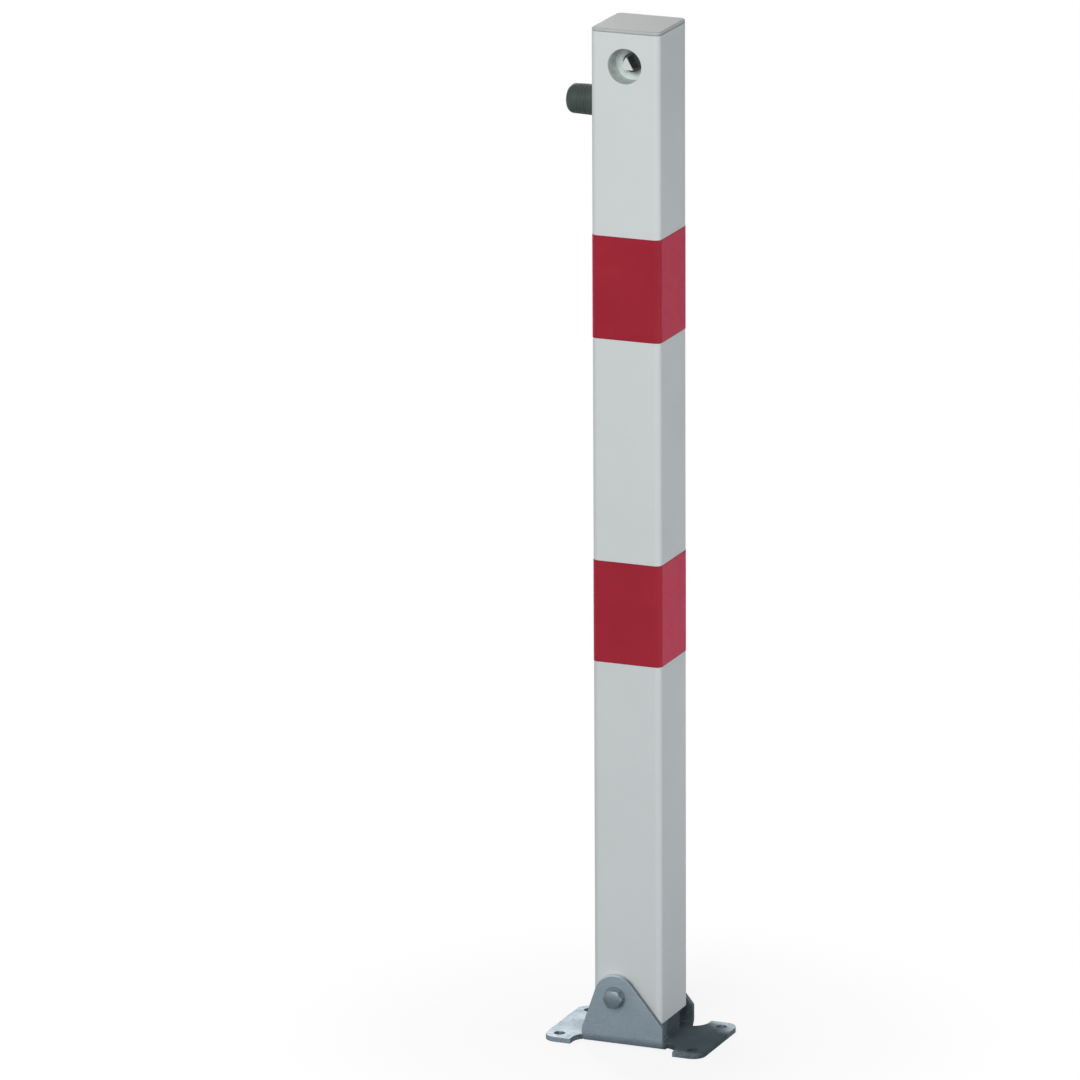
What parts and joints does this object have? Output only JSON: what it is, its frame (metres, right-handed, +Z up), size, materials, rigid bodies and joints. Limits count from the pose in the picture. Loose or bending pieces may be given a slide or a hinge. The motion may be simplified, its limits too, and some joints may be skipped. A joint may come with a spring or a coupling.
{
  "type": "fold-down bollard",
  "caption": "Square steel parking post with reflective bands that is unlocked with a triangular key and folds down sideways on its bolted foot bracket.",
  "frame": {"origin": "middle of the foot plate's underside, on the axis of the upright post, at ground level", "axes": "+Z up along the post, -Y is the front with the key recess, and the post folds down towards -X"},
  "size_m": [0.165, 0.1075, 1],
  "materials": {
    "zinc_sheet": "zinc-plated sheet, slightly mottled",
    "bolt_steel": "zinc-plated fastener",
    "nylon": "natural nylon",
    "white_coat": "smooth white powder coat",
    "cap_plastic": "moulded white plastic",
    "red_film": "retro-reflective film with a fine bead pattern",
    "bare_steel": "oiled bright steel",
    "zinc_sleeve": "zinc-plated, turned or folded",
    "key_steel": "turned and milled bright steel",
    "spring_steel": "blackened spring steel",
    "buffer_rubber": "moulded dark rubber"
  },
  "bodies": {
    "base": {"base_bracket": "zinc_sheet", "catch_block": "zinc_sheet", "pivot_bolt": "bolt_steel", "pivot_washer_front": "bolt_steel", "pivot_washer_rear": "bolt_steel", "pivot_lock_nut": "bolt_steel", "lock_nut_ring": "nylon"},
    "post": {"post_tube": "white_coat", "top_cap": "cap_plastic", "upper_band": "red_film", "lower_band": "red_film", "pivot_sleeve": "bare_steel", "foot_plate": "bare_steel", "rod_guide": "bare_steel", "lock_sleeve": "zinc_sleeve", "gear_bracket": "zinc_sleeve", "rubber_buffer": "buffer_rubber", "buffer_stud": "bolt_steel", "buffer_rivet_nut": "bolt_steel"},
    "spindle": {"lock_spindle": "key_steel", "spindle_ring": "spring_steel", "pinion": "key_steel", "pinion_pin": "spring_steel"},
    "rod": {"locking_rod": "bare_steel", "rack": "bare_steel", "rack_pins": "spring_steel"}
  },
  "joints": [
    {"name": "post_fold", "type": "hinge", "parent": "base", "child": "post", "pos_m": [-0.01, 0, 0.049], "axis": [0, -1, 0], "range_deg": [0, 89]},
    {"name": "rod_slide", "type": "slide", "parent": "post", "child": "rod", "axis": [0, 0, -1], "range_m": [0, 0.0157]},
    {"name": "spindle_turn", "type": "hinge", "parent": "post", "child": "spindle", "pos_m": [0, 0, 0.965], "axis": [0, 1, 0], "range_deg": [0, 90]}
  ],
  "couplings": [
    {"joint": "spindle_turn", "follows": "rod_slide", "rad_per_m": 100}
  ]
}
